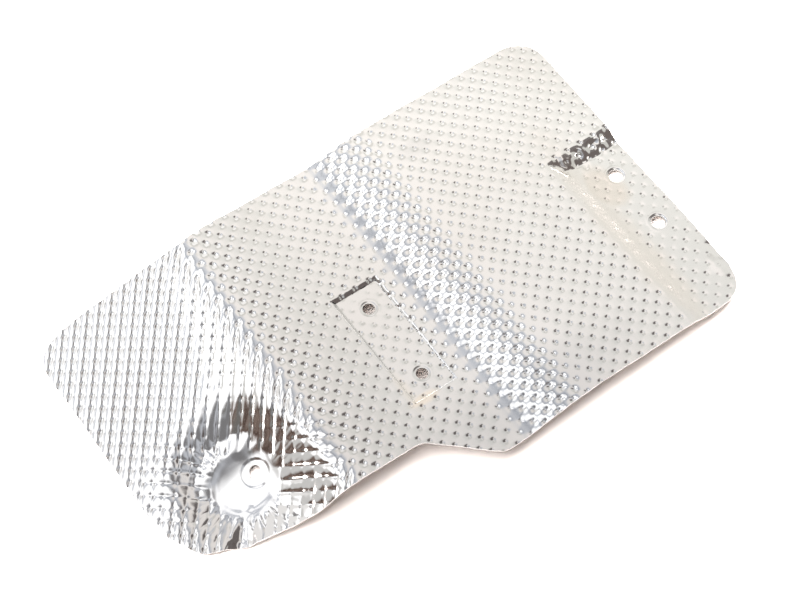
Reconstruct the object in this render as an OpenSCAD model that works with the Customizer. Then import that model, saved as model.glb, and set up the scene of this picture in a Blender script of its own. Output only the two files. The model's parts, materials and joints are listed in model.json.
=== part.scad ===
// One formed sheet: four panels joined by three soft folds, a centre land, an
// open end land, a round dish with a floor hole, and a trimmed outline.
// Millimetres. +X runs along the sheet, +Y across it, +Z up. The sheet lies
// as it rests on a flat table at z = 0.

/* [Sheet] */
// sheet thickness
sheet_t = 0.8; // [0.5:0.1:1.5]
// underside height of the left panel's plane at x = 0, y = 0
left_h = 30.6; // [25:0.1:40]
// rise of the left panel along X, as a tangent
left_slope = 0.22; // [0.1:0.005:0.4]
// rise of the steeper flank up to the first ridge
flank_slope = 0.5; // [0.3:0.01:0.8]
// fall of the middle panel along X, as a tangent
mid_slope = 0.141; // [0.05:0.001:0.3]
// rise of the short step after the valley
step_slope = 0.32; // [0.1:0.01:0.5]
// rise of the band after the step
band_slope = 0.088; // [0:0.001:0.2]
// fall of the right panel along X, as a tangent
right_slope = 0.107; // [0.05:0.001:0.3]
// how far the first ridge is rounded off
ridge_soft = 0.9; // [0.2:0.1:3]
// how far the other folds are rounded off
fold_soft = 0.5; // [0.2:0.1:2]

/* [Centre land] */
// width of the centre land's floor along X
pad_w = 22; // [15:0.5:30]
// length of the centre land's floor along Y
pad_l = 61; // [40:0.5:80]
// hole-to-hole distance on the centre land
pad_pitch = 40; // [30:0.5:50]
// hole radius on the centre land
pad_hole_r = 2.75; // [2:0.05:4]

/* [End land] */
// hole-to-hole distance on the end land
end_pitch = 31; // [20:0.5:45]
// hole radius on the end land
end_hole_r = 3.25; // [2:0.05:5]
// how far each hole's lip reaches below the land
lip_drop = 1.2; // [0:0.1:2]

/* [Dish] */
// dish centre along X
dish_x = -97; // [-110:0.5:-80]
// dish centre along Y
dish_y = -25; // [-35:0.5:-15]
// radius of the dish floor
dish_floor_r = 15; // [10:0.5:18]
// wall angle of the dish's open side
dish_wall = 17; // [10:1:30]
// slope along X of the dish's steep side, towards the flank
dish_side = 0.68; // [0.4:0.02:0.8]
// width of the oval hole in the dish floor
dish_hole_w = 4.8; // [3:0.1:8]
// length of the oval hole in the dish floor
dish_hole_l = 7.2; // [4:0.1:12]

/* [Hidden] */
big = 700;
$fn = 72;

// a plane is [height at 0,0, slope along x, slope along y]
LEFT  = [left_h, left_slope, 0.004];
FLANK = [55.0, flank_slope, -0.07];
UPPER = [12.25, -0.19, -0.05];
MID   = [13.25, -mid_slope, -0.051];
STEP  = [6.45, step_slope, -0.053];
BAND  = [12.1, band_slope, -0.06];
RIGHT = [20.35, -right_slope, -0.067];
PAD   = [12.0, -0.1325, -0.0725];
END   = [17.8, -0.1205, -0.081];
FLOOR = [22.4, 0.2, 0];

DEEP  = [at(FLOOR, dish_x + 11.5, 0) - dish_side*(dish_x + 11.5), dish_side, 0];

pad_x = -7;
pad_y = -12.5;
end_x = 126.3;
end_y = -17.3;
hole_x = -90.5;
hole_y = -23.8;
hole_turn = 62;

function at(p, x, y) = p[0] + p[1]*x + p[2]*y;
function secant(p) = sqrt(1 + p[1]*p[1] + p[2]*p[2]);
// between two planes: a facet that rounds their ridge (soft > 0) or valley
function blend(p, q, w, soft) = p*(1 - w) + q*w - [4*soft*w*(1 - w), 0, 0];
// a wall rising from plane p at the line x = x0 or y = y0, with its own slope
function wall_x(p, x0, k) = [p[0] + (p[1] - k)*x0, k, p[2]];
function wall_y(p, y0, k) = [p[0] + (p[2] - k)*y0, p[1], k];

// stands its children on plane p at x, y, with their Z along its normal
module on_plane(p, x, y) {
    translate([x, y, at(p, x, y)])
        rotate(a = acos(1/secant(p)), v = [p[2], -p[1], 0])
            children();
}

module below(p, off) {
    on_plane(p, 0, 0)
        translate([-big/2, -big/2, off - big]) cube([big, big, big]);
}

module above(p, off) {
    on_plane(p, 0, 0)
        translate([-big/2, -big/2, off]) cube([big, big, big]);
}

// the steps between a ridge's two panels, or a valley's
module rounded(p, q, soft, off) {
    for (w = [0.2, 0.5, 0.8]) below(blend(p, q, w, soft), off);
}

module panels(off) {
    intersection() {
        union() {
            below(LEFT, off);
            below(FLANK, off);
            rounded(LEFT, FLANK, -fold_soft, off);
        }
        for (w = [0.2, 0.5, 0.8]) below(blend(FLANK, UPPER, w, ridge_soft), off);
        union() {
            below(UPPER, off);
            below(MID, off);
            intersection() {
                union() {
                    step(off);
                    rounded(MID, STEP, -fold_soft, off);
                }
                second_ridge(off);
            }
        }
    }
}

module step(off) {
    intersection() {
        below(STEP, off);
        for (w = [0.2, 0.5, 0.8]) below(blend(STEP, BAND, w, fold_soft), off);
    }
}

module second_ridge(off) {
    intersection() {
        below(BAND, off);
        for (w = [0.2, 0.5, 0.8]) below(blend(BAND, RIGHT, w, fold_soft), off);
        below(RIGHT, off);
    }
}

module pad_recess(off) {
    intersection() {
        above(PAD, off);
        above(wall_x(PAD, pad_x - pad_w/2, -1.3), off);
        above(wall_x(PAD, pad_x + pad_w/2, 1.3), off);
        above(wall_y(PAD, pad_y - pad_l/2, -1.3), off);
        above(wall_y(PAD, pad_y + pad_l/2, 1.3), off);
    }
}

module end_recess(off) {
    intersection() {
        above(END, off);
        above(wall_y(END, 12.2, 0.5), off);
        above(wall_x(END, 111.2, -0.578), off);
    }
}

// everything above a round flat floor on plane p and its wall
module bowl(p, r, wall, off) {
    c = cos(wall);
    s = sin(wall);
    k = (1 - c)/s;              // corner shift of an offset wall
    reach = 90;
    on_plane(p, dish_x, dish_y)
        rotate_extrude($fn = 96)
            polygon([
                [0, off],
                [r - k*off, off],
                [r - k*off + reach*c, off + reach*s],
                [0, off + reach*s]
            ]);
}

module dish_recess(off) {
    intersection() {
        bowl(FLOOR, dish_floor_r, dish_wall, off);
        union() {
            bowl(DEEP, dish_floor_r + 2, 10, off);
            above(DEEP, off + 15);
        }
    }
}

module scoop(off) {
    translate([-111, -43, 9.4]) rotate([0, 0, 230]) rotate([0, 95, 0])
        cylinder(h = 27, r = 8.5 - off, center = true);
}

module formed(off) {
    difference() {
        panels(off);
        pad_recess(off);
        end_recess(off);
        dish_recess(off);
        scoop(off);
    }
}

module outline() {
    polygon([
        [-139, 71], [-138, 75.5], [-135.6, 79.2], [-131.8, 82], [-126, 83.6], [-118, 84],
        [-100, 83.8], [-80, 83.2], [-60, 82.2], [-42, 83.3], [-12, 84],
        [119, 84], [126, 83.8], [131, 82.3], [135.4, 78.6], [138, 74.6], [138.9, 69.5],
        [138.9, -64], [138.4, -69], [137.2, -73.6], [135.4, -77.8], [132.8, -80.8], [129.4, -82.8], [125, -84],
        [2.5, -84], [-0.5, -83.2], [-3.2, -81.4], [-25, -61.8], [-27.6, -60.4], [-31, -60],
        [-39, -60.3], [-59.5, -59.9], [-70, -59.2], [-80, -57.9], [-98, -53], [-109, -50], [-113, -48.6],
        [-116, -46.4], [-119.5, -45], [-126.6, -42.2], [-129.6, -40], [-131.6, -36.8],
        [-137, -25.6], [-138.2, -20], [-138.9, -8], [-139, 36]
    ]);
}

module lips() {
    for (d = [-end_pitch/2, end_pitch/2])
        on_plane(END, end_x, end_y) translate([0, d, -lip_drop])
            cylinder(h = lip_drop + sheet_t/2, r = end_hole_r + sheet_t);
}

module holes() {
    for (d = [-pad_pitch/2, pad_pitch/2])
        on_plane(PAD, pad_x, pad_y) translate([0, d, -5])
            cylinder(h = 12, r = pad_hole_r);
    for (d = [-end_pitch/2, end_pitch/2])
        on_plane(END, end_x, end_y) translate([0, d, -5])
            cylinder(h = 12, r = end_hole_r);
    on_plane(FLOOR, hole_x, hole_y) rotate([0, 0, hole_turn]) translate([0, 0, -3])
        linear_extrude(height = 8) {
            square([dish_hole_l - dish_hole_w, dish_hole_w], center = true);
            for (d = [-1, 1]) translate([d*(dish_hole_l - dish_hole_w)/2, 0])
                circle(r = dish_hole_w/2);
        }
}

module heat_shield() {
    color([0.86, 0.86, 0.86])
    difference() {
        union() {
            intersection() {
                translate([0, 0, -20]) linear_extrude(height = 90) outline();
                difference() {
                    formed(sheet_t);
                    formed(0);
                }
            }
            lips();
        }
        holes();
    }
}

heat_shield();
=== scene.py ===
import json
import bpy
from mathutils import Matrix, Vector
from mathutils.geometry import delaunay_2d_cdt

import math
import numpy as np

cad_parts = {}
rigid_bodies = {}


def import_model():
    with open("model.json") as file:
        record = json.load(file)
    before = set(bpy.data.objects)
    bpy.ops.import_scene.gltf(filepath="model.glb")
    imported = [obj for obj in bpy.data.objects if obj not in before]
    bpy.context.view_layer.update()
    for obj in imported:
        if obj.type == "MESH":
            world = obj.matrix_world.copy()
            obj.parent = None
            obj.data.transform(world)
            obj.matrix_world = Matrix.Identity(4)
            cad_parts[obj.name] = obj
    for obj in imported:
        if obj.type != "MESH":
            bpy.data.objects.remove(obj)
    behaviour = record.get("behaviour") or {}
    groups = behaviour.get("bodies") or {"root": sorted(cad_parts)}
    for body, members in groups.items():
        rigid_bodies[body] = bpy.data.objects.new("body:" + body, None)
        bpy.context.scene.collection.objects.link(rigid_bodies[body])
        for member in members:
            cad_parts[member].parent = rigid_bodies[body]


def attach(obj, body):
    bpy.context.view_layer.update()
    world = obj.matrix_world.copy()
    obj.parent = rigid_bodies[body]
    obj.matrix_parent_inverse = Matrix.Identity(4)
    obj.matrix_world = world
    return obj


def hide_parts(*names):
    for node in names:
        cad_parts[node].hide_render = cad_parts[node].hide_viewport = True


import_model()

# ---------------------------------------------------------------- the sheet, in millimetres
# Planes of the underside: (height at 0,0, slope along x, slope along y).
LEFT = (30.6, 0.22, 0.004)
FLANK = (55.0, 0.5, -0.07)
UPPER = (12.25, -0.19, -0.05)
MID = (13.25, -0.141, -0.051)
STEP = (6.45, 0.32, -0.053)
BAND = (12.1, 0.088, -0.06)
RIGHT = (20.35, -0.107, -0.067)
PAD = (12.0, -0.1325, -0.0725)
END = (17.8, -0.1205, -0.081)
FLOOR = (22.4, 0.2, 0.0)
DEEP = (63.44, 0.68, 0.0)
HALF = 0.4                       # half the sheet's thickness
PITCH = 5.396                    # emboss pitch
TURN = math.radians(-43.995)     # emboss direction


def pl(p, x, y):
    return p[0] + p[1] * x + p[2] * y


def smin(a, b, s):
    w = np.clip(0.5 + (a - b) / (8 * s), 0, 1)
    return (1 - w) * a + w * b - 4 * s * w * (1 - w)


def smax(a, b, s):
    return -smin(-a, -b, s)


def step01(t):
    t = np.clip(t, 0, 1)
    return t * t * (3 - 2 * t)


def wall_x(p, x0, k):
    return (p[0] + (p[1] - k) * x0, k, p[2])


def wall_y(p, y0, k):
    return (p[0] + (p[2] - k) * y0, p[1], k)


def panels(x, y):
    left = smax(pl(LEFT, x, y), pl(FLANK, x, y), 0.5)
    r = smin(smin(pl(STEP, x, y), pl(BAND, x, y), 0.5), pl(RIGHT, x, y), 0.5)
    m = smax(pl(MID, x, y), pl(UPPER, x, y), 0.1)
    return smin(left, smax(m, r, 1.1), 1.6)


def pad_under(x, y):
    z = pl(PAD, x, y)
    for w in (wall_x(PAD, -18, -1.3), wall_x(PAD, 4, 1.3), wall_y(PAD, -43, -1.3), wall_y(PAD, 18, 1.3)):
        z = smax(z, pl(w, x, y), 0.06)
    return z


def end_under(x, y):
    z = smax(pl(END, x, y), pl(wall_y(END, 12.2, 0.5), x, y), 0.12)
    return smax(z, pl(wall_x(END, 111.2, -0.578), x, y), 0.2)


DISH = (-97.0, -25.0)


def bowl(p, r, wall, x, y):
    """Height of a round flat floor on plane p and the cone that rises round it."""
    n = np.array([-p[1], -p[2], 1.0])
    n = n / np.linalg.norm(n)
    k = math.tan(math.radians(wall))
    z = pl(p, x, y) + 0.0
    for _ in range(16):
        dx, dy, dz = x - DISH[0], y - DISH[1], z - pl(p, *DISH)
        h = dx * n[0] + dy * n[1] + dz * n[2]
        rho = np.sqrt((dx - h * n[0]) ** 2 + (dy - h * n[1]) ** 2 + (dz - h * n[2]) ** 2)
        t = (rho - r) * k
        want = np.where(t > 1.3, t, np.where(t < -1.3, 0.0, (t + 1.3) ** 2 / 5.2))
        z = z + (want - h) / n[2] * 0.9
    return z


def dish_under(x, y):
    return smax(bowl(FLOOR, 15.0, 17, x, y), bowl(DEEP, 17.0, 10, x, y), 0.9)


def scoop_under(x, y):
    c = (-111.0, -43.0, 9.4)
    a, b = math.radians(95), math.radians(230)
    d = (math.sin(a) * math.cos(b), math.sin(a) * math.sin(b), math.cos(a))
    u, v = x - c[0], y - c[1]
    w = u * d[0] + v * d[1]
    k = 1 - d[2] ** 2
    disc = (d[2] * w) ** 2 - k * (u * u + v * v - w * w - 8.5 ** 2)
    z = c[2] + (d[2] * w - np.sqrt(np.maximum(disc, 0))) / k
    along = w + (z - c[2]) * d[2]
    return np.where((disc > 0) & (along > -13.5), z, 99.0)


def under(x, y):
    z = panels(x, y)
    z = smin(z, pad_under(x, y), 0.07)
    z = smin(z, end_under(x, y), 0.12)
    z = smin(z, dish_under(x, y), 0.5)
    return smin(z, scoop_under(x, y), 0.15)


# ---------------------------------------------------------------- the emboss lattice
XS = np.linspace(-150, 150, 1501)
YS = np.linspace(-96, 96, 49)


def _arc():
    rows = []
    for y in YS:
        z = panels(XS, np.full_like(XS, y))
        dz = np.gradient(z, XS)
        a = np.concatenate([[0], np.cumsum(np.sqrt(1 + ((dz[1:] + dz[:-1]) / 2) ** 2) * np.diff(XS))])
        rows.append(a - np.interp(0, XS, a))
    return np.array(rows)


ARC = _arc()


def arc(x, y):
    i = np.clip((x - XS[0]) / (XS[1] - XS[0]), 0, len(XS) - 1.001)
    j = np.clip((y - YS[0]) / (YS[1] - YS[0]), 0, len(YS) - 1.001)
    a, b = i.astype(int), j.astype(int)
    u, v = i - a, j - b
    return ((ARC[b, a] * (1 - u) + ARC[b, a + 1] * u) * (1 - v)
            + (ARC[b + 1, a] * (1 - u) + ARC[b + 1, a + 1] * u) * v)


def shift(x, y):
    """How far the emboss has crept from an even lattice, in the flat."""
    left = step01((-45 - x) / 30)
    land = step01((x - 102) / 16)
    low = step01((16 - y) / 10)
    slip = step01((-56 - x) / 10)
    du = left * (0.8 - 0.00035 * np.maximum(0, y + 5) ** 2) - land * (0.5 + 0.9 * low) - 1.65 * slip
    dv = -0.0805 * 6 * np.logaddexp(0, (-78 - x) / 6) - land * (0.8 - 0.65 * low) - 1.25 * slip
    return du, dv


OFF = (88.993, 10.029)
CENTRE = (0.168, -0.118)         # pit centres in the lattice


def lattice(x, y):
    du, dv = shift(x, y)
    u, v = arc(x, y) - du - OFF[0], y * 1.0018 - dv - OFF[1]
    c, s = math.cos(TURN) / PITCH, math.sin(TURN) / PITCH
    return c * u + s * v - CENTRE[0], -s * u + c * v - CENTRE[1]


def unlattice(a, b):
    a, b = a + CENTRE[0], b + CENTRE[1]
    c, s = math.cos(TURN) * PITCH, math.sin(TURN) * PITCH
    u0, v0 = c * a - s * b + OFF[0], s * a + c * b + OFF[1]
    x, y = u0 * 0.98, v0 + 0.0
    for _ in range(24):
        du, dv = shift(x, y)
        x = x + (u0 + du - arc(x, y)) * 0.7
        y = y + (v0 + dv - y * 1.0018) * 0.7
    return x, y


def zones(x, y):
    """How much a point belongs to the left panel, the flank, the band and the first ridge."""
    slip = step01((-56 - x) / 10)
    left = step01((-76 + 0.26 * y - x) / 10)
    band = step01((x - 15) / 5) * step01((45 - x) / 6)
    return left, slip * (1 - left), band, np.exp(-((x + 52) / np.where(x > -52, 15, 6)) ** 2)


def emboss(x, y, a, b):
    """Height of the embossing: pits at whole numbers of the lattice, run
    together into grooves where the sheet was drawn over the left fold."""
    left, flank, band, ridge = zones(x, y)
    u, v = 2 * np.pi * a, 2 * np.pi * (b - 0.1 * band)
    deep = 0.32 * (1 - left - flank - band) + 0.36 * left + 0.3 * flank + 0.44 * band + 0.22 * ridge * (1 - left)
    groove = 0.41 * left + 0.5 * flank * (1 + 0.4 * noise2(x, y, 11.0, 25))
    run = np.exp(1.4 * (np.cos(u) - 1))
    wide = 0.22 * np.exp(-((x + 52) / 8) ** 2) * (1 - left)
    return (-deep * run * np.exp(1.5 * (np.cos(v) - 1)) - groove * run
            - 0.07 * band * (np.cos(u) + np.cos(v)) - wide * np.exp(0.8 * (np.cos(u) + np.cos(v) - 2)))


def pit(a, b):
    u, v = 2 * np.pi * a, 2 * np.pi * b
    return -0.3 * np.exp(1.5 * (np.cos(u) + np.cos(v) - 2))

# ---------------------------------------------------------------- outline and holes
OUTLINE = [
    (-139, 71), (-138, 75.5), (-135.6, 79.2), (-131.8, 82), (-126, 83.6), (-118, 84),
    (-100, 83.8), (-80, 83.2), (-60, 82.2), (-42, 83.3), (-12, 84),
    (119, 84), (126, 83.8), (131, 82.3), (135.4, 78.6), (138, 74.6), (138.9, 69.5),
    (138.9, -64), (138.4, -69), (137.2, -73.6), (135.4, -77.8), (132.8, -80.8), (129.4, -82.8), (125, -84),
    (2.5, -84), (-0.5, -83.2), (-3.2, -81.4), (-25, -61.8), (-27.6, -60.4), (-31, -60),
    (-39, -60.3), (-59.5, -59.9), (-70, -59.2), (-80, -57.9), (-98, -53), (-109, -50), (-113, -48.6),
    (-116, -46.4), (-119.5, -45), (-126.6, -42.2), (-129.6, -40), (-131.6, -36.8),
    (-137, -25.6), (-138.2, -20), (-138.9, -8), (-139, 36)]


def resample(p, h):
    """The closed line p, cut into equal steps of about h."""
    q = np.vstack([p, p[:1]])
    d = np.concatenate([[0], np.cumsum(np.hypot(*np.diff(q, axis=0).T))])
    n = max(12, int(round(d[-1] / h)))
    t = np.linspace(0, d[-1], n, endpoint=False)
    return np.c_[np.interp(t, d, q[:, 0]), np.interp(t, d, q[:, 1])]


def rounded_line(p, sigma):
    """Rounds a closed line's corners over about sigma, at 0.5 mm steps."""
    q = resample(np.array(p, float), 0.5)
    n = len(q)
    k = np.arange(n)
    k = np.minimum(k, n - k) * 0.5
    w = np.exp(-k * k / (2 * sigma * sigma))
    w /= w.sum()
    f = np.fft.rfft(w)
    return np.c_[np.fft.irfft(np.fft.rfft(q[:, 0]) * f, n), np.fft.irfft(np.fft.rfft(q[:, 1]) * f, n)]


def outline_loop(h):
    q = resample(rounded_line(OUTLINE, 1.6), h)
    # a sheared edge isn't quite straight: it wanders and dips where it cuts a pit
    t = np.roll(q, -1, 0) - np.roll(q, 1, 0)
    t /= np.hypot(t[:, 0], t[:, 1])[:, None]
    n = np.c_[t[:, 1], -t[:, 0]]
    s = np.cumsum(np.full(len(q), h))
    total = s[-1]
    wander = 0.0
    for k, a, ph in ((9, 0.10, 0.4), (23, 0.08, 2.1), (57, 0.06, 4.4), (131, 0.05, 1.2)):
        wander = wander + a * np.sin(2 * np.pi * k * s / total + ph)
    a, b = lattice(q[:, 0], q[:, 1])
    wander = wander + 0.5 * pit(a, b)
    m = np.roll(q, -2, 0) - np.roll(q, 2, 0)
    sign = np.sign(np.sum(q[:, 0] * np.roll(q[:, 1], -1) - q[:, 1] * np.roll(q[:, 0], -1)))
    return q + n * (sign * (wander - 0.12))[:, None]


def plane_frame(p):
    n = np.array([-p[1], -p[2], 1.0])
    n /= np.linalg.norm(n)
    ax = np.array([p[2], -p[1], 0.0])
    s = np.linalg.norm(ax)
    ax /= s
    c = 1 / math.sqrt(1 + p[1] ** 2 + p[2] ** 2)
    a = math.acos(c)

    def turn(v):
        v = np.array(v, float)
        return v * math.cos(a) + np.cross(ax, v) * math.sin(a) + ax * (ax @ v) * (1 - math.cos(a))
    return turn


def hole_loops():
    """Each hole's rim as points in plan, with its kind."""
    out = []

    def add(p, cx, cy, local, kind):
        turn = plane_frame(p)
        pts = np.array([turn((u, v, 0)) for u, v in local])
        out.append((np.c_[cx + pts[:, 0], cy + pts[:, 1]], kind))
    ring = lambda r, n: [(r * math.cos(2 * math.pi * k / n), r * math.sin(2 * math.pi * k / n)) for k in range(n)]
    for d in (-20, 20):
        add(PAD, -7, -12.5, [(u, v + d) for u, v in ring(2.75, 36)], "pad")
    for d in (-15.5, 15.5):
        add(END, 126.3, -17.3, [(u, v + d) for u, v in ring(3.25, 40)], "end")
    oval = []
    for k in range(40):
        t = 2 * math.pi * k / 40
        u, v = 2.4 * math.cos(t), 2.4 * math.sin(t)
        u += 1.2 if math.cos(t) > 1e-9 else (-1.2 if math.cos(t) < -1e-9 else 0)
        w = math.radians(62)
        oval.append((u * math.cos(w) - v * math.sin(w), u * math.sin(w) + v * math.cos(w)))
    add(FLOOR, -90.5, -23.8, oval, "dish")
    return out


def inside(p, x, y):
    """Even-odd test of points against a closed line."""
    hit = np.zeros(len(x), bool)
    a, b = p, np.roll(p, -1, 0)
    for (x0, y0), (x1, y1) in zip(a, b):
        if y0 == y1:
            continue
        m = (y0 > y) != (y1 > y)
        if m.any():
            hit[m] ^= x[m] < (x1 - x0) * (y[m] - y0) / (y1 - y0) + x0
    return hit


def near(p, x, y, reach):
    """Distance from points to a closed line's vertices and edges, capped at reach."""
    d = np.full(len(x), float(reach))
    q = np.roll(p, -1, 0)
    cell = {}
    k = np.floor(np.c_[x, y] / reach).astype(int)
    order = np.lexsort((k[:, 1], k[:, 0]))
    ks = k[order]
    code = ks[:, 0] * 100003 + ks[:, 1]
    first = np.searchsorted(code, code, side="left")
    uniq, start = np.unique(code, return_index=True)
    end = np.append(start[1:], len(code))
    for c, s, e in zip(uniq, start, end):
        cell[int(c)] = order[s:e]
    for a, b in zip(p, q):
        lo, hi = np.minimum(a, b) - reach, np.maximum(a, b) + reach
        i0, j0 = np.floor(lo / reach).astype(int)
        i1, j1 = np.floor(hi / reach).astype(int)
        got = [cell[i * 100003 + j] for i in range(i0, i1 + 1) for j in range(j0, j1 + 1) if i * 100003 + j in cell]
        if not got:
            continue
        m = np.concatenate(got)
        ab = b - a
        t = np.clip(((x[m] - a[0]) * ab[0] + (y[m] - a[1]) * ab[1]) / (ab @ ab + 1e-12), 0, 1)
        d[m] = np.minimum(d[m], np.hypot(x[m] - a[0] - t * ab[0], y[m] - a[1] - t * ab[1]))
    return d

# ---------------------------------------------------------------- relief pressed into the sheet
def noise2(x, y, scale, seed):
    """Smooth value noise of about -1..1, the same on every run."""
    u, v = x / scale + seed * 17.13, y / scale + seed * 5.77
    i, j = np.floor(u).astype(np.int64), np.floor(v).astype(np.int64)
    fu, fv = u - i, v - j
    fu, fv = fu * fu * (3 - 2 * fu), fv * fv * (3 - 2 * fv)

    def h(a, b):
        k = (a * 374761393 + b * 668265263 + seed * 982451653) & 0x7FFFFFFF
        k = ((k ^ (k >> 13)) * 1274126177) & 0x7FFFFFFF
        return ((k ^ (k >> 16)) & 0xFFFF) / 32767.5 - 1
    return ((h(i, j) * (1 - fu) + h(i + 1, j) * fu) * (1 - fv)
            + (h(i, j + 1) * (1 - fu) + h(i + 1, j + 1) * fu) * fv)


def bell(d, w):
    return np.exp(-(d / w) ** 2 / 2)


HOLES = [(-7.0, 7.4, 2.75, "pad"), (-7.0, -32.4, 2.75, "pad"), (126.3, -1.9, 3.25, "end"), (126.3, -32.7, 3.25, "end")]


def pad_mask(x, y):
    """1 on the centre land's floor, 0 off it."""
    return step01((x + 19.2) / 1.2) * step01((5.2 - x) / 1.2) * step01((y + 44.2) / 1.2) * step01((19.2 - y) / 1.2)


def land_mask(x, y):
    return step01((x - 110.5) / 3) * step01((13.2 - y) / 2)


def ramp_mask(x, y):
    return step01((x - 101.5) / 2.5) * step01((113.5 - x) / 3) * step01((14 - y) / 4)


def relief(x, y):
    """Height of everything pressed into the sheet, along its normal."""
    a, b = lattice(x, y)
    rho = np.hypot(x - DISH[0], y - DISH[1])
    phi = np.arctan2(y - DISH[1], x - DISH[0])
    pad, land, ramp = pad_mask(x, y), land_mask(x, y), ramp_mask(x, y)
    amp = 1 - 0.12 * pad - 0.25 * land - 0.8 * ramp
    amp = amp * (1 - 0.85 * pad * bell(np.hypot(x + 7, y - 14), 8.0))
    amp = amp * (1 + 0.12 * noise2(x, y, 7.0, 3) + 0.45 * land * noise2(x, y, 4.0, 4))
    # the pits are drawn deeper where they meet a pressed wall
    amp = amp * (1 + 1.3 * bell(x - 6.0, 2.2) * step01((y + 44) / 3) * step01((19 - y) / 3))
    amp = amp * (1 + 0.9 * bell(y - 20.2, 1.8) * step01((x + 20) / 3) * step01((6 - x) / 3))
    amp = amp * (1 + 1.6 * bell(y - 16.5, 3.2) * step01((x - 112) / 6))
    h = amp * emboss(x, y, a, b)
    # the dish: a smooth floor, then grooves where the sheet was drawn down into it
    bowl_in = 1 - step01((rho - 24) / 9)
    h = h * np.where(rho < 45, step01((rho - 14.5) / 4) * (1 - 0.35 * bowl_in), 1)
    rest = 1.0
    for ang, lat, w_ang, r0, r1, depth in ((74, a, 17, 33, 62, 0.22), (146, b, 19, 34, 56, 0.2), (-34, b, 26, 36, 50, 0.36)):
        d = np.angle(np.exp(1j * (phi - math.radians(ang))))
        w = bell(d, math.radians(w_ang)) * step01((rho - 13.5) / 6) * (1 - step01((rho - r0) / (r1 - r0)))
        run = np.exp(1.3 * (np.cos(2 * np.pi * lat) - 1))
        line = -depth * run * (1 + 0.5 * noise2(x, y, 6.0, 11)) + 0.05 * noise2(x, y, 3.1, 12)
        h = h * (1 - 0.85 * w) + w * line
        rest = rest * (1 - bell(d, math.radians(w_ang)))
    rest = rest * (1 - 0.9 * bell(np.angle(np.exp(1j * (phi - math.radians(30)))), math.radians(20)))
    w = rest * step01((rho - 14) / 5) * (1 - step01((rho - 27) / 9))
    turn = phi * 36 / (2 * np.pi) + 0.22 * noise2(x, y, 9.0, 13)
    h = h * (1 - 0.4 * w) - w * 0.17 * np.exp(1.2 * (np.cos(2 * np.pi * turn) - 1)) * (1 + 0.5 * noise2(x, y, 5.0, 14))
    # small crumples below the dish, towards the cut edge
    low = step01((rho - 21) / 6) * (1 - step01((rho - 44) / 8)) * bell(np.angle(np.exp(1j * (phi - math.radians(240)))), 0.75)
    h = h + low * (0.10 * noise2(x, y, 2.9, 15) + 0.05 * noise2(x, y, 1.7, 16))
    # the seat pressed round the oval hole, and two faint rings on the dish floor
    seat = np.hypot(x + 90.5, y + 23.8)
    h = h - 0.13 * (1 - step01((seat - 5.6) / 1.3))
    side = bell(np.angle(np.exp(1j * (phi - math.radians(222)))), 0.6)
    h = h + side * (0.06 * bell(rho - 12.6, 0.7) + 0.05 * bell(rho - 16.4, 0.7))
    h = h + (1 - step01((rho - 13) / 5)) * 0.05 * noise2(x, y, 6.5, 17)
    h = h + step01((rho - 8) / 5) * (1 - step01((rho - 28) / 10)) * (0.22 * noise2(x, y, 9.5, 23) + 0.07 * noise2(x, y, 4.5, 24))
    lift = np.maximum(0, (x + 94) * -0.17 + (y + 24) * 0.98)
    h = h + 1.35 * (lift / 12) ** 2 * (1 - step01((rho - 13) / 10))
    # the rims of the four round holes
    for cx, cy, r, kind in HOLES:
        d = np.hypot(x - cx, y - cy)
        if kind == "pad":
            h = h * step01((d - 3.4) / 2.2) - 0.16 * (1 - step01((d - r - 0.1) / 1.5)) + 0.05 * bell(d - r - 1.7, 0.5)
        else:
            h = h * step01((d - 4.1) / 2.0) - 0.30 * (1 - step01((d - r) / 1.3)) + 0.07 * bell(d - r - 1.6, 0.45)
    # a creased wall beside the end land, and the bent lower right-hand lip
    wall = bell(y - 15.5, 3.4) * step01((x - 103) / 4) * (1 + 0.8 * bell(x - 109, 4.0))
    h = h + wall * (0.46 * noise2(x, y, 3.4, 18) + 0.16 * noise2(x, y, 1.9, 19))
    h = h + ramp * 0.05 * noise2(x, y, 4.2, 20)
    h = h - 1.1 * np.exp(-((x - 140.5) / 5.0) ** 2 - ((y + 60) / 8.0) ** 2)
    h = h + 0.45 * np.exp(-((x - 134) / 3.0) ** 2 - ((y + 66) / 5.0) ** 2)
    return h


# ---------------------------------------------------------------- surface
def mid(x, y):
    return under(x, y) + HALF * 1.025


def mid_normal(x, y, e=0.12):
    gx = (mid(x + e, y) - mid(x - e, y)) / (2 * e)
    gy = (mid(x, y + e) - mid(x, y - e)) / (2 * e)
    n = np.stack([-gx, -gy, np.ones_like(gx)], -1)
    return n / np.linalg.norm(n, axis=-1, keepdims=True)


def skin(x, y, t):
    """Points of the sheet at offset t from its middle, with the relief."""
    return np.stack([x, y, mid(x, y)], -1) + mid_normal(x, y) * (t + relief(x, y))[..., None]


def skin_normal(x, y, t, e=0.07):
    du = skin(x + e, y, t) - skin(x - e, y, t)
    dv = skin(x, y + e, t) - skin(x, y - e, t)
    n = np.cross(du, dv)
    return n / np.linalg.norm(n, axis=-1, keepdims=True)


def fine_zone(x, y):
    """Where the mesh is twice as fine: walls, hole rims and the dish."""
    wall = (np.abs(np.maximum(np.abs(x + 7) - 11.6, np.abs(y + 12.5) - 31.1)) < 1.9)
    end = (np.abs(y - 13.5) < 5) & (x > 108)
    rims = np.zeros(len(x), bool)
    for cx, cy, r, _ in HOLES:
        rims |= np.hypot(x - cx, y - cy) < r + 2.2
    dish = np.hypot(x - DISH[0], y - DISH[1]) < 34
    return wall | end | rims | dish


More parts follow.
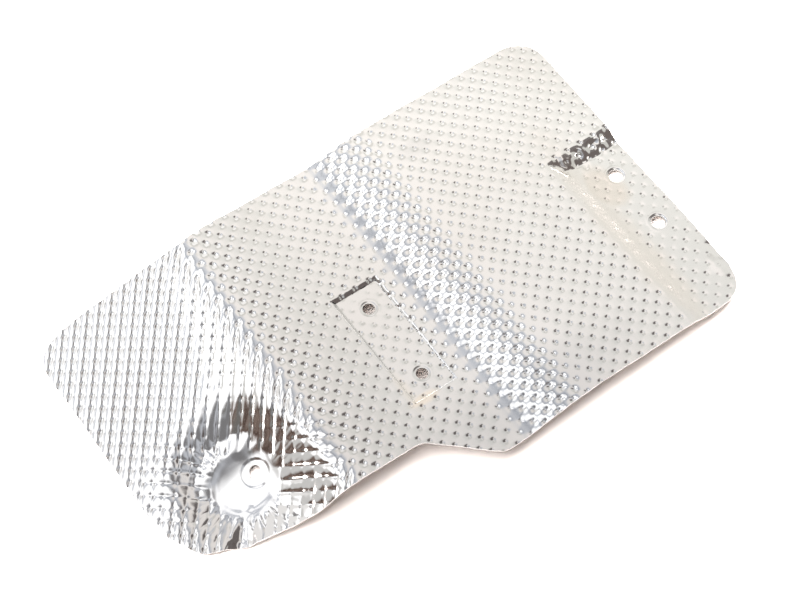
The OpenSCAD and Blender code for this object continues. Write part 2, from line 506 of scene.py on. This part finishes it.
def node_cloud(k, fine):
    """Mesh nodes on the emboss lattice, k to a pitch, closer together round each pit."""
    n = 2 * k
    i, j = np.meshgrid(np.arange(-42 * n, 21 * n), np.arange(-45 * n, 19 * n))
    i, j = i.ravel(), j.ravel()
    s, t = i / n, j / n
    squeeze = 0.35
    s = s - squeeze * np.sin(2 * np.pi * s) / (2 * np.pi)
    t = t - squeeze * np.sin(2 * np.pi * t) / (2 * np.pi)
    keep = ((i % 2 == 0) & (j % 2 == 0))
    # rough place first, to drop most of the nodes early
    c, sn = math.cos(TURN) * PITCH, math.sin(TURN) * PITCH
    x0, y0 = (c * s - sn * t + OFF[0]) * 0.98, sn * s + c * t + OFF[1]
    m = (np.abs(x0) < 152) & (np.abs(y0) < 100)
    if fine:
        m &= keep | fine_zone(x0 * 0.995, y0) | (np.hypot(x0 - DISH[0], y0 - DISH[1]) < 48) | ((np.abs(x0 + 7) < 20) & (np.abs(y0 + 12.5) < 40)) | ((x0 > 100) & (y0 < 25))
    else:
        m &= keep
    i, j, s, t, keep = i[m], j[m], s[m], t[m], keep[m]
    x, y = unlattice(s, t)
    m = keep | (fine_zone(x, y) if fine else False)
    return x[m], y[m]


def sheet_side(k, fine, loops, margin):
    """Triangles of one face of the sheet, its outline and hole rims first."""
    x, y = node_cloud(k, fine)
    m = inside(loops[0], x, y)
    x, y = x[m], y[m]
    m = near(loops[0], x, y, 2.0) > margin
    x, y = x[m], y[m]
    for p in loops[1:]:
        m = ~inside(p, x, y) & (near(p, x, y, 2.0) > 0.3)
        x, y = x[m], y[m]
    edges, n0 = [], 0
    for p in loops:
        n = len(p)
        edges += [(n0 + q, n0 + (q + 1) % n) for q in range(n)]
        n0 += n
    pts = np.vstack(loops + [np.c_[x, y]])
    out = delaunay_2d_cdt([Vector(v) for v in pts.tolist()], edges, [], 0, 1e-7, True)
    verts, tris, origin = out[0], out[2], out[3]
    if len(verts) != len(pts):
        raise RuntimeError("the outline crosses itself: %d points became %d" % (len(pts), len(verts)))
    back = np.array([o[0] for o in origin])
    tri = back[np.array(tris)]
    c = pts[tri].mean(1)
    keep = inside(loops[0], c[:, 0], c[:, 1])
    for p in loops[1:]:
        keep &= ~inside(p, c[:, 0], c[:, 1])
    # anything outside a rim that still has all corners on it is left to the tests above
    tri = tri[keep]
    q = pts[tri]
    area = (q[:, 1, 0] - q[:, 0, 0]) * (q[:, 2, 1] - q[:, 0, 1]) - (q[:, 1, 1] - q[:, 0, 1]) * (q[:, 2, 0] - q[:, 0, 0])
    tri[area < 0] = tri[area < 0][:, ::-1]
    return pts, tri


def build_sheet():
    loops = [outline_loop(0.9)] + [p for p, _ in hole_loops()]
    sizes = [len(p) for p in loops]
    rim = sum(sizes)
    starts = np.concatenate([[0], np.cumsum(sizes)])[:-1]
    top_p, top_t = sheet_side(6, True, loops, 0.38)
    low_p, low_t = sheet_side(4, False, loops, 0.55)
    nudge = np.zeros((rim, 2))
    for s, n in zip(starts, sizes):
        p = top_p[s:s + n]
        t = np.roll(p, -1, 0) - np.roll(p, 1, 0)
        t /= np.hypot(t[:, 0], t[:, 1])[:, None]
        c = p.mean(0)
        q = np.c_[t[:, 1], -t[:, 0]]
        area = np.sum(p[:, 0] * np.roll(p[:, 1], -1) - p[:, 1] * np.roll(p[:, 0], -1))
        if area < 0:
            q = -q
        # q points out of the loop; into the metal is -q on the outline, +q on a hole
        nudge[s:s + n] = -q if s == 0 else q
    soft = 0.10
    tp = top_p.copy()
    tp[:rim] += nudge * soft
    lp = low_p.copy()
    lp[:rim] += nudge * soft
    V_top, N_top = skin(tp[:, 0], tp[:, 1], HALF), skin_normal(tp[:, 0], tp[:, 1], HALF)
    V_low, N_low = skin(lp[:, 0], lp[:, 1], -HALF), -skin_normal(lp[:, 0], lp[:, 1], -HALF)
    rp = top_p[:rim]
    V_a, V_b = skin(rp[:, 0], rp[:, 1], HALF - soft), skin(rp[:, 0], rp[:, 1], -HALF + soft)
    out = -np.c_[nudge, np.zeros(rim)]
    N_a = N_b = out
    verts = np.vstack([V_top, V_low, V_a, V_b])
    norms = np.vstack([N_top, N_low, N_a, N_b])
    o_low = len(V_top)
    o_a = o_low + len(V_low)
    o_b = o_a + rim
    faces = [top_t, low_t[:, ::-1] + o_low]
    quads = []
    for s, n in zip(starts, sizes):
        p = top_p[s:s + n]
        area = np.sum(p[:, 0] * np.roll(p[:, 1], -1) - p[:, 1] * np.roll(p[:, 0], -1))
        i = np.arange(n) + s
        j = (np.arange(n) + 1) % n + s
        # metal lies left of the direction of travel on a counter-clockwise outline
        if (area > 0) != (s == 0):
            i, j = j, i
        for u, w in ((0, o_a), (o_a, o_b), (o_b, o_low)):
            quads.append(np.c_[i + u, i + w, j + w, j + u])
    quads = np.vstack(quads)
    faces.append(quads[:, [0, 1, 2]])
    faces.append(quads[:, [0, 2, 3]])
    tri = np.vstack(faces)
    mesh = bpy.data.meshes.new("sheet")
    mesh.vertices.add(len(verts))
    mesh.vertices.foreach_set("co", (verts * 0.001).astype(np.float32).ravel())
    mesh.loops.add(len(tri) * 3)
    mesh.loops.foreach_set("vertex_index", tri.astype(np.int32).ravel())
    mesh.polygons.add(len(tri))
    mesh.polygons.foreach_set("loop_start", np.arange(0, len(tri) * 3, 3, dtype=np.int32))
    mesh.polygons.foreach_set("loop_total", np.full(len(tri), 3, np.int32))
    mesh.update(calc_edges=True)
    mesh.validate()
    mesh.polygons.foreach_set("use_smooth", np.ones(len(tri), bool))
    mesh.normals_split_custom_set_from_vertices(norms.astype(np.float32).tolist())
    ab = np.zeros((len(verts), 2))
    a, b = lattice(verts[:, 0], verts[:, 1])
    uv = mesh.uv_layers.new(name="lattice")
    flat = np.c_[a, b][tri.ravel()] / 64 + 0.7
    uv.data.foreach_set("uv", flat.astype(np.float32).ravel())
    obj = bpy.data.objects.new("shield_sheet", mesh)
    bpy.context.scene.collection.objects.link(obj)
    print("SHEET", len(verts), "vertices", len(tri), "triangles; lowest", verts[:, 2].min(), "box", verts.min(0).round(2), verts.max(0).round(2))
    return obj


# ---------------------------------------------------------------- node helpers
class Nodes:
    def __init__(self, tree):
        self.t = tree

    def new(self, kind, **props):
        n = self.t.nodes.new(kind)
        for k, v in props.items():
            setattr(n, k, v)
        return n

    def put(self, socket, v):
        if hasattr(v, "is_output") or hasattr(v, "links"):
            self.t.links.new(v, socket)
        elif isinstance(v, (tuple, list)):
            socket.default_value = tuple(v) if len(v) == len(socket.default_value) else tuple(v) + (1.0,)
        else:
            socket.default_value = v

    def math(self, op, *args, clamp=False):
        n = self.new("ShaderNodeMath", operation=op, use_clamp=clamp)
        for s, v in zip(n.inputs, args):
            self.put(s, v)
        return n.outputs[0]

    def vmath(self, op, *args):
        n = self.new("ShaderNodeVectorMath", operation=op)
        for s, v in zip(n.inputs, args):
            self.put(s, v)
        return n.outputs["Value"] if op in ("DOT_PRODUCT", "LENGTH", "DISTANCE") else n.outputs[0]

    def ramp(self, v, lo, hi, a=0.0, b=1.0, smooth=True):
        n = self.new("ShaderNodeMapRange", interpolation_type="SMOOTHSTEP" if smooth else "LINEAR")
        for s, x in zip(n.inputs[:5], (v, lo, hi, a, b)):
            self.put(s, x)
        return n.outputs[0]

    def mix(self, f, a, b, kind="MIX"):
        n = self.new("ShaderNodeMix", data_type="RGBA", blend_type=kind, clamp_factor=True)
        self.put(n.inputs[0], f)
        self.put(n.inputs[6], a)
        self.put(n.inputs[7], b)
        return n.outputs[2]

    def xyz(self, v):
        n = self.new("ShaderNodeSeparateXYZ")
        self.put(n.inputs[0], v)
        return n.outputs[0], n.outputs[1], n.outputs[2]

    def noise(self, v, scale, detail=2.0, rough=0.5, dist=0.0):
        n = self.new("ShaderNodeTexNoise")
        self.put(n.inputs["Vector"], v)
        n.inputs["Scale"].default_value = scale
        n.inputs["Detail"].default_value = detail
        n.inputs["Roughness"].default_value = rough
        n.inputs["Distortion"].default_value = dist
        return n.outputs["Fac"]


def grey(v):
    return (v, v, v, 1.0)


def srgb(r, g, b):
    f = lambda c: c / 255 / 12.92 if c <= 10 else ((c / 255 + 0.055) / 1.055) ** 2.4
    return (f(r), f(g), f(b), 1.0)


# ---------------------------------------------------------------- material
def sheet_material():
    m = bpy.data.materials.new("bright_embossed_aluminium")
    m.use_nodes = True
    t = m.node_tree
    t.nodes.clear()
    N = Nodes(t)
    out = N.new("ShaderNodeOutputMaterial")
    b = N.new("ShaderNodeBsdfPrincipled")
    t.links.new(b.outputs[0], out.inputs[0])
    pos = N.new("ShaderNodeTexCoord").outputs["Object"]
    x, y, z = N.xyz(pos)
    soft = N.noise(pos, 38.0, 3.0, 0.55)
    fine = N.noise(pos, 900.0, 3.0, 0.6)
    cloud = N.noise(pos, 11.0, 2.0, 0.5)
    base = N.mix(N.ramp(cloud, 0.35, 0.65), (0.925, 0.915, 0.905), (0.95, 0.948, 0.945))
    base = N.mix(N.math("MULTIPLY", N.ramp(soft, 0.55, 0.75), 0.3), base, (0.90, 0.885, 0.865))
    # beige stain: along the ramp, round the end holes, at the foot of the centre land
    def patch(cx, cy, rx, ry, soft_edge=0.35):
        u = N.math("DIVIDE", N.math("SUBTRACT", x, cx / 1000), rx / 1000)
        v = N.math("DIVIDE", N.math("SUBTRACT", y, cy / 1000), ry / 1000)
        d = N.math("SQRT", N.math("ADD", N.math("MULTIPLY", u, u), N.math("MULTIPLY", v, v)))
        d = N.math("ADD", d, N.math("MULTIPLY", N.math("SUBTRACT", soft, 0.5), 1.4))
        return N.ramp(d, 1 - soft_edge, 1 + soft_edge, 1.0, 0.0)
    stain = N.math("MULTIPLY", patch(109, -32, 7.5, 50, 0.6), 0.42)
    stain = N.math("MAXIMUM", stain, N.math("MULTIPLY", patch(117, -4, 8, 12), 0.6))
    stain = N.math("MAXIMUM", stain, N.math("MULTIPLY", patch(-14, -43.2, 6.5, 2.2, 0.5), 0.9))
    stain = N.math("MAXIMUM", stain, N.math("MULTIPLY", patch(-18, -35, 2.4, 10, 0.7), 0.4))
    # painted shade: the base colour darkens towards the near end of the sheet, standing in for the room reflecting
    # dimmer there
    reach = N.math("ADD", N.math("MULTIPLY", x, 0.541), N.math("MULTIPLY", y, 0.737))
    base = N.mix(1.0, base, N.mix(N.ramp(reach, -0.06, 0.09, smooth=False), (0.735, 0.735, 0.745), (1.0, 1.0, 0.995)), "MULTIPLY")
    base = N.mix(stain, base, (0.86, 0.79, 0.71))
    smudge = N.math("MULTIPLY", patch(58, 62, 9, 4, 0.6), 0.16)
    base = N.mix(smudge, base, (0.55, 0.55, 0.56))
    # painted shade: a broad darker, bluer patch near the middle of the lower cut edge, deepening the dimmer reflection
    # there
    base = N.mix(N.math("MULTIPLY", patch(22, -72, 48, 17, 0.6), 0.45), base, (0.56, 0.565, 0.58))
    b.inputs["Metallic"].default_value = 1.0
    rough = N.math("ADD", N.ramp(soft, 0.3, 0.8, 0.095, 0.14), N.math("MULTIPLY", stain, 0.1))
    # the sheared edge is rougher than the faces, and its colour is painted near-black: painted shade, so the edge shows
    # as a thin dark line instead of reflecting the bright floor
    cut_edge_rough_and_shade = N.math("ABSOLUTE", N.xyz(N.new("ShaderNodeNewGeometry").outputs["True Normal"])[2])
    cut_edge_rough_and_shade = N.ramp(cut_edge_rough_and_shade, 0.15, 0.35, 1.0, 0.0)
    base = N.mix(cut_edge_rough_and_shade, base, (0.11, 0.105, 0.10))
    rough = N.math("ADD", rough, N.math("MULTIPLY", cut_edge_rough_and_shade, 0.25))
    t.links.new(base, b.inputs["Base Color"])
    t.links.new(rough, b.inputs["Roughness"])
    # rolled grain along the coil, and scuffs
    stretch = N.vmath("MULTIPLY", pos, (1.0, 14.0, 1.0))
    grain = N.noise(stretch, 420.0, 2.0, 0.6)
    bump = N.new("ShaderNodeBump")
    bump.inputs["Strength"].default_value = 0.35
    bump.inputs["Distance"].default_value = 0.000012
    t.links.new(N.math("ADD", grain, N.math("MULTIPLY", fine, 0.8)), bump.inputs["Height"])
    t.links.new(bump.outputs[0], b.inputs["Normal"])
    return m


# ---------------------------------------------------------------- floor, light, camera
def floor():
    mesh = bpy.data.meshes.new("floor")
    s, z = 9.0, -0.00045
    mesh.from_pydata([(-s, -s, z), (s, -s, z), (s, s, z), (-s, s, z)], [], [(0, 1, 2, 3)])
    o = bpy.data.objects.new("floor", mesh)
    bpy.context.scene.collection.objects.link(o)
    m = bpy.data.materials.new("pale_floor")
    m.use_nodes = True
    b = m.node_tree.nodes["Principled BSDF"]
    b.inputs["Base Color"].default_value = (0.63, 0.578, 0.55, 1)
    b.inputs["Roughness"].default_value = 0.9
    b.inputs["Specular IOR Level"].default_value = 0.1
    mesh.materials.append(m)
    return o


def world():
    w = bpy.data.worlds.new("soft_room")
    bpy.context.scene.world = w
    w.use_nodes = True
    t = w.node_tree
    t.nodes.clear()
    N = Nodes(t)
    out = N.new("ShaderNodeOutputWorld")
    bg = N.new("ShaderNodeBackground")
    t.links.new(bg.outputs[0], out.inputs[0])
    d = N.vmath("NORMALIZE", N.new("ShaderNodeTexCoord").outputs["Generated"])
    # the tilt a mirror lying flat would need to show this direction from the front
    h = N.vmath("ADD", d, (-0.22764, -0.33523, 0.91422))
    hx, hy, hz = N.xyz(h)
    hz = N.math("MAXIMUM", hz, 0.02)
    P = N.math("MULTIPLY", N.math("DIVIDE", hx, hz), -1.0)
    Q = N.math("MULTIPLY", N.math("DIVIDE", hy, hz), -1.0)

    def up(v, lo, hi):
        return N.ramp(v, lo, hi)

    def down(v, lo, hi):
        return N.ramp(v, lo, hi, 1.0, 0.0)

    def times(*v):
        r = v[0]
        for w in v[1:]:
            r = N.math("MULTIPLY", r, w)
        return r

    def line(v, at, width):
        u = N.math("DIVIDE", N.math("SUBTRACT", v, at), width)
        return N.math("EXPONENT", N.math("MULTIPLY", N.math("MULTIPLY", u, u), -1.0))

    def shade(r, g, b, gain=1.08):
        return tuple(k * gain for k in srgb(r, g, b)[:3]) + (1.0,)
    # pale warm ceiling, greyer far to the right, cooler towards the window
    c = N.mix(times(down(P, -0.20, -0.11), 0.8), shade(250, 245, 240, 1.15), shade(230, 229, 223, 1.12))
    c = N.mix(up(P, -0.02, 0.07), c, shade(214, 217, 223))
    c = N.mix(times(down(Q, -0.14, -0.10), up(Q, -0.26, -0.20), down(P, -0.02, 0.06), 0.8), c, shade(212, 210, 203))
    # dim towards whoever holds the camera
    c = N.mix(times(up(Q, 0.03, 0.12), down(P, -0.09, -0.03), up(P, -0.42, -0.30)), c, shade(118, 112, 110))
    c = N.mix(times(up(Q, 0.34, 0.50), down(P, 0.10, 0.25), up(P, -0.42, -0.30)), c, shade(108, 100, 97))
    # big bright window up and left
    c = N.mix(times(down(P, -0.45, -0.30), up(Q, 0.1, 0.2), down(Q, 0.9, 1.1)), c, shade(203, 202, 197))
    c = N.mix(times(up(P, 0.02, 0.07), down(P, 0.13, 0.19), up(Q, 0.06, 0.13), down(Q, 0.20, 0.26)), c, shade(136, 131, 129))
    c = N.mix(times(up(P, 0.115, 0.155), down(Q, 0.10, 0.24)), c, (1.75, 1.75, 1.75, 1))
    c = N.mix(times(up(P, 0.17, 0.26), up(Q, 0.07, 0.20), down(P, 0.38, 0.46)), c, shade(136, 135, 136))
    c = N.mix(down(Q, -0.30, -0.20), c, (1.15, 1.13, 1.1, 1))
    # its frame and glazing bar
    c = N.mix(times(line(P, 0.115, 0.02), 0.65, up(Q, -0.30, -0.20)), c, shade(116, 118, 122))
    c = N.mix(times(up(P, 0.09, 0.12), down(P, 0.38, 0.44), line(Q, -0.056, 0.026), 0.92), c, shade(172, 178, 190))
    c = N.mix(times(line(P, 0.37, 0.055), 0.95, down(Q, -0.13, -0.09), up(Q, -0.30, -0.22)), c, shade(96, 93, 92))
    # plain wall beyond the window
    c = N.mix(times(up(P, 0.64, 0.80), down(Q, 0.0, 0.1)), c, shade(226, 225, 222))
    c = N.mix(down(Q, -0.85, -0.55), c, shade(196, 193, 188))
    # brownish room low down behind the camera
    pq = N.new("ShaderNodeCombineXYZ")
    t.links.new(P, pq.inputs[0])
    t.links.new(Q, pq.inputs[1])
    mess = N.ramp(N.noise(pq.outputs[0], 9.0, 3.0, 0.6), 0.35, 0.68)
    brown = N.mix(mess, shade(84, 66, 58), shade(150, 132, 122))
    c = N.mix(times(up(P, 0.66, 0.80), up(Q, -0.07, 0.05)), c, brown)
    c = N.mix(times(up(P, 0.48, 0.58), up(Q, 0.11, 0.17)), c, brown)
    # the lit end of the room
    c = N.mix(times(up(P, 0.40, 0.50), up(Q, 0.24, 0.36)), c, shade(150, 148, 144))
    c = N.mix(times(up(P, 0.16, 0.32), up(Q, 0.46, 0.62)), c, shade(208, 207, 203))
    c = N.mix(times(up(P, 0.40, 0.48), down(P, 0.56, 0.68), up(Q, 0.13, 0.22)), c, shade(122, 119, 115))
    c = N.mix(down(P, -0.90, -0.60), c, shade(190, 187, 183))
    t.links.new(c, bg.inputs["Color"])
    bg.inputs["Strength"].default_value = 1.0


def lamps():
    def area(name, loc, aim, size, power, colour, glossy):
        l = bpy.data.lights.new(name, "AREA")
        l.shape = "RECTANGLE"
        l.size, l.size_y = size
        l.energy = power
        l.color = colour
        o = bpy.data.objects.new(name, l)
        o.location = loc
        o.rotation_mode = "QUATERNION"
        o.rotation_quaternion = (Vector(aim) - Vector(loc)).to_track_quat("-Z", "Y")
        bpy.context.scene.collection.objects.link(o)
        o.visible_glossy = glossy
        return o
    # big soft source up and to the picture's left and top
    area("softbox", (-0.15, 0.7, 2.0), (0, 0, 0), (2.6, 2.6), 700.0, (1.0, 1.0, 1.0), False)


def camera():
    cam = bpy.data.cameras.new("camera")
    cam.sensor_width = 36.0
    cam.lens = 99.0
    o = bpy.data.objects.new("camera", cam)
    f = Vector((0.22764, 0.33523, -0.91422)).normalized()
    r = Vector((0.80939, -0.58711, -0.01374))
    r = (r - f * r.dot(f)).normalized()
    u = r.cross(f)
    m = Matrix((r, u, -f)).transposed().to_4x4()
    m.translation = Vector((-0.21679, -0.32637, 0.91054))
    o.matrix_world = m
    cam.clip_start, cam.clip_end = 0.02, 60
    bpy.context.scene.collection.objects.link(o)
    bpy.context.scene.camera = o


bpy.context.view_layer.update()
for o in list(bpy.data.objects):
    if o.type in ("LIGHT", "CAMERA") or (o.type == "MESH" and o.name == "Cube"):
        bpy.data.objects.remove(o)
camera()
world()
lamps()
floor()
sheet = build_sheet()
sheet.data.materials.append(sheet_material())
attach(sheet, "root")
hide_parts("heat_shield")
scene = bpy.context.scene
scene.view_settings.view_transform = "Standard"
scene.view_settings.look = "None"
scene.view_settings.exposure = 0.0
